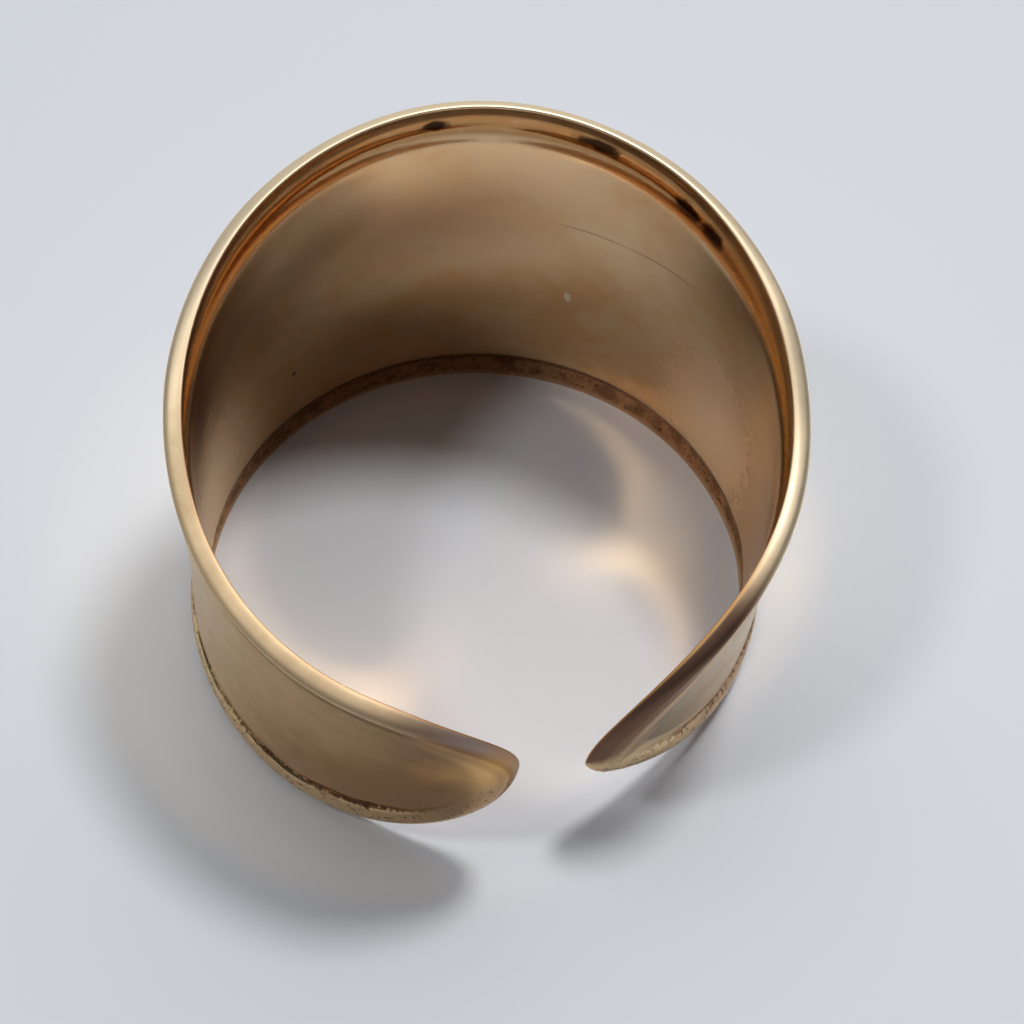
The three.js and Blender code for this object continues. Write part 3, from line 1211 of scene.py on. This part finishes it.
    def _border(self, coat: Coat) -> None:
        """Rub the rim bright, paint shade along the groove under it and in the seam, and rust
        round the seam.

        Args:
            coat: The coat to lay on.
        """
        arc, low, ending = coat.arc, coat.low, coat.ending
        left, right_end = arc.rising(-8.0, -17.0), arc.rising(19.0, 22.0)
        dull = low * 0.5 + ending * 0.8 + right_end + left * 0.6
        coat.lay(self.pale, coat.rim * (1 - dull.clamped()) * 0.85)
        # Painted shade: a dark line along the groove under the bead, outside.
        line = coat.edge.hump(0.56, 0.24) * coat.outer * coat.high * (1 - ending * 0.6)
        coat.lay(self.soot_and_shade, line * (0.4 + coat.mottle * 0.5).clamped())
        halo = (coat.edge.hump(1.4, 0.5) * coat.outer * low * arc.rising(-18.0, -21.0)
                * (1 - ending))
        coat.lay(self.rust, halo * coat.mottle.rising(0.3, 0.6) * 0.75)
        # Painted shadow: the ragged seam laid near-black, as the shadow in its fold.
        coat.lay(self.soot_and_shade, coat.seam.clamped())

    def _rough(self, coat: Coat, grain: Value) -> Value:
        """Find how rough the metal is.

        Args:
            coat: The coat, for its masks.
            grain: The fine lines along the strip.

        Returns:
            The roughness, from 0 to 1.
        """
        left, right = coat.arc.rising(-12.0, -16.0), coat.arc.rising(7.5, 10.0)
        rough = (self.roughness + 0.16 * (coat.mottle - 0.5) + 0.08 * (grain - 0.5)
                 - coat.cove * 0.07 + coat.foot * 0.15 + coat.pits * 0.2 + coat.seam * 0.3
                 + coat.rim * 0.32 + coat.satin_and_sheen * 0.22 + coat.cove * right * 0.2
                 + coat.rim * left * 0.12)
        return rough.clamped()


@dataclass(frozen=True)
class Tabletop:
    """The plain pale table that the ring lies on."""

    colour: Tone = (0.76, 0.78, 0.81, 1.0)
    roughness: float = 0.55
    reach: float = 0.6

    def build(self) -> bpy.types.Object:
        """Lay the table under the ring.

        Returns:
            The table's object.
        """
        bpy.ops.object.select_all(action="DESELECT")
        bpy.ops.mesh.primitive_plane_add(size=2 * self.reach, location=(0, 0, 0))
        table = bpy.context.object
        table.name = "tabletop"
        finish = FinishSheet("pale_table").shade({"Base Color": self.colour,
                                                  "Roughness": self.roughness})
        table.data.materials.append(finish)
        return table


@dataclass(frozen=True)
class SoftLamp:
    """One soft studio lamp, placed round the ring's middle in its own reach."""

    name: str
    azimuth: float
    elevation: float
    distance: float
    size: float
    power: float
    colour: Triple = (1.0, 1.0, 1.0)

    def light(self, middle: Vector) -> None:
        """Hang the lamp so that it faces the ring.

        Args:
            middle: The ring's middle.
        """
        away = bearing(self.azimuth, self.elevation)
        data = bpy.data.lights.new(self.name, "AREA")
        data.shape = "DISK"
        data.size = self.size
        data.energy = self.power
        data.color = self.colour
        lamp = bpy.data.objects.new(self.name, data)
        lamp.location = middle + away * self.distance
        lamp.rotation_euler = away.to_track_quat("Z", "Y").to_euler()
        bpy.context.scene.collection.objects.link(lamp)


@dataclass(frozen=True)
class Studio:
    """The room's soft light, brighter behind the ring, and its two lamps."""

    dim: Tone = (0.058, 0.058, 0.061, 1.0)
    bright: Tone = (0.85, 0.88, 0.94, 1.0)
    towards: Triple = (0.12, 0.72, 0.68)
    fade: Pair = (0.45, 0.98)
    lamps: tuple[SoftLamp, ...] = (
        SoftLamp("window", 125, 70, 0.2, 0.042, 0.17, (0.99, 0.99, 1.0)),
        SoftLamp("side_lamp", -82, 57, 0.2, 0.034, 0.076, (0.93, 0.96, 1.0)))

    def light(self, middle: Vector) -> None:
        """Switch the room's light and its lamps on.

        Args:
            middle: The ring's middle.
        """
        world = bpy.data.worlds.new("room")
        world.use_nodes = True
        sheet = FinishSheet(tree=world.node_tree)
        spot = sheet.node("ShaderNodeTexCoord", {}, {}).outputs["Generated"]
        facing = sheet.node("ShaderNodeVectorMath", {"operation": "DOT_PRODUCT"},
                            {0: spot, 1: Vector(self.towards).normalized()})
        share = Value(sheet, facing.outputs["Value"]).rising(*self.fade)
        colour = sheet.blend(share, self.dim, self.bright)
        back = sheet.node("ShaderNodeBackground", {}, {"Color": colour, "Strength": 1.0})
        sheet.node("ShaderNodeOutputWorld", {}, {0: back.outputs[0]})
        bpy.context.scene.world = world
        for lamp in self.lamps:
            lamp.light(middle)


@dataclass(frozen=True)
class Viewpoint:
    """Where the ring is seen from; lengths in millimetres, angles in degrees."""

    aim: Triple = (0.636, -1.413, -0.807)
    distance: float = 64.981
    azimuth: float = -15.4
    elevation: float = 55.937
    roll: float = 4.787
    lens: float = 71.314
    sensor: float = 36.0

    def place(self, middle: Vector) -> None:
        """Make the camera and aim it.

        Args:
            middle: The middle of the ring's box.
        """
        away = bearing(self.azimuth, self.elevation)
        aim = middle + Vector(self.aim) * MILLIMETRE
        level = (-away).cross(Vector((0, 0, 1))).normalized()
        upright = level.cross(-away).normalized()
        roll = math.radians(self.roll)
        right = level * math.cos(roll) + upright * math.sin(roll)
        up = upright * math.cos(roll) - level * math.sin(roll)
        data = bpy.data.cameras.new("viewpoint")
        data.lens = self.lens
        data.sensor_width = self.sensor
        data.clip_start = MILLIMETRE
        camera = bpy.data.objects.new("viewpoint", data)
        turned = Matrix((right, up, away)).transposed().to_4x4()
        camera.matrix_world = (
            Matrix.Translation(aim + away * self.distance * MILLIMETRE) @ turned)
        bpy.context.scene.collection.objects.link(camera)
        bpy.context.scene.camera = camera


def main() -> None:
    """Build the ring, its table, its light and its camera."""
    logging.basicConfig(level=logging.INFO, format="%(name)s: %(message)s")
    middle = (CAD_BOX[0] + CAD_BOX[1]) / 2
    band = OpenBand(BandSizes()).build()
    band.data.materials.append(AgedBrass().material())
    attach(band, "root")
    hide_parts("band")
    LOG.info("open_band: %d faces", len(band.data.polygons))
    table = Tabletop().build()
    LOG.info("tabletop: %d face", len(table.data.polygons))
    Studio().light(middle)
    bpy.context.scene.view_settings.view_transform = "Standard"
    bpy.context.scene.cycles.blur_glossy = 0.0
    bpy.context.scene.cycles.sample_clamp_indirect = 0.0
    Viewpoint().place(middle)


if __name__ == "__main__":
    main()
